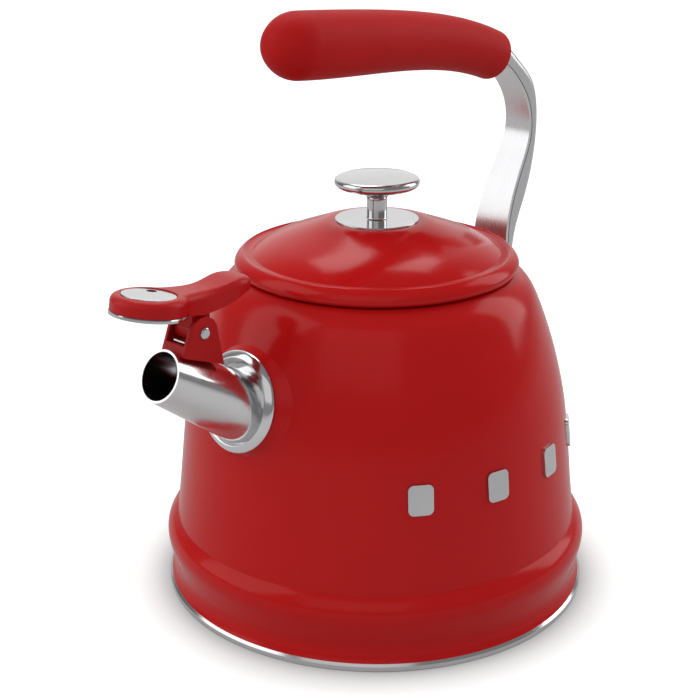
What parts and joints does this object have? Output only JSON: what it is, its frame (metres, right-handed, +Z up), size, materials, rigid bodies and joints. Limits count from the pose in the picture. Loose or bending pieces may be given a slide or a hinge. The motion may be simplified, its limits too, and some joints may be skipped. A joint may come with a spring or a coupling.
{
  "type": "whistling kettle",
  "caption": "Stovetop whistling kettle with a lift-off lid, a fixed strap handle with a soft grip, and a conical spout closed by a hinged whistle lever.",
  "frame": {"origin": "centre of the flat base that stands on the hob", "axes": "+Z up, -X the way the spout points, +X towards the handle strap, so the spout and handle lie in the XZ plane"},
  "size_m": [0.2417, 0.1884, 0.2548],
  "materials": {
    "enamel_body": "gloss enamel",
    "steel_base": "polished",
    "aluminium_core": "plain",
    "steel_disc": "turned",
    "enamel_lid": "gloss enamel",
    "steel_neck": "satin",
    "silicone_lid": "matt silicone",
    "steel_knob_plate": "polished",
    "steel_knob_stem": "polished",
    "steel_knob": "polished",
    "steel_washer": "plain",
    "steel_screw": "plain",
    "steel_spout": "polished",
    "steel_collar": "polished",
    "enamel_bracket": "satin paint",
    "steel_pin": "polished",
    "steel_spring": "satin",
    "red_lever": "satin",
    "steel_lever_plate": "brushed",
    "steel_cup": "polished",
    "steel_disc_inner": "satin",
    "steel_disc_outer": "satin",
    "silicone_whistle": "matt silicone",
    "steel_strap": "satin",
    "steel_strap_cover": "satin",
    "silicone_gasket": "matt silicone",
    "steel_backing": "plain",
    "steel_rivets": "plain",
    "red_grip": "soft touch",
    "nylon_core": "plain",
    "steel_core_screws": "plain",
    "steel_trim": "polished"
  },
  "bodies": {
    "kettle": {"body_shell": "enamel_body", "base_pan": "steel_base", "heat_disc": "aluminium_core", "base_disc": "steel_disc", "spout_tube": "steel_spout", "spout_collar": "steel_collar", "lever_bracket": "enamel_bracket", "pivot_pin": "steel_pin", "detent_spring": "steel_spring", "handle_bracket": "steel_strap", "bracket_cover": "steel_strap_cover", "bracket_gasket": "silicone_gasket", "bracket_plate": "steel_backing", "bracket_rivets": "steel_rivets", "grip": "red_grip", "grip_core": "nylon_core", "core_screws": "steel_core_screws", "side_trim": "steel_trim"},
    "lid": {"lid_shell": "enamel_lid", "lid_neck": "steel_neck", "lid_seal": "silicone_lid", "knob_plate": "steel_knob_plate", "knob_stem": "steel_knob_stem", "knob_cap": "steel_knob", "knob_screw": "steel_screw", "knob_washer": "steel_washer"},
    "lever": {"whistle_lever": "red_lever", "lever_plate": "steel_lever_plate", "whistle_cup": "steel_cup", "whistle_disc_inner": "steel_disc_inner", "whistle_disc_outer": "steel_disc_outer", "whistle_seal": "silicone_whistle"}
  },
  "joints": [
    {"name": "lever_pivot", "type": "hinge", "parent": "kettle", "child": "lever", "pos_m": [-0.1035, 0, 0.1402], "axis": [0, -1, 0], "range_deg": [0, 72]},
    {"name": "lid_lift", "type": "slide", "parent": "kettle", "child": "lid", "axis": [0, 0, 1], "range_m": [0, 0.038]}
  ]
}
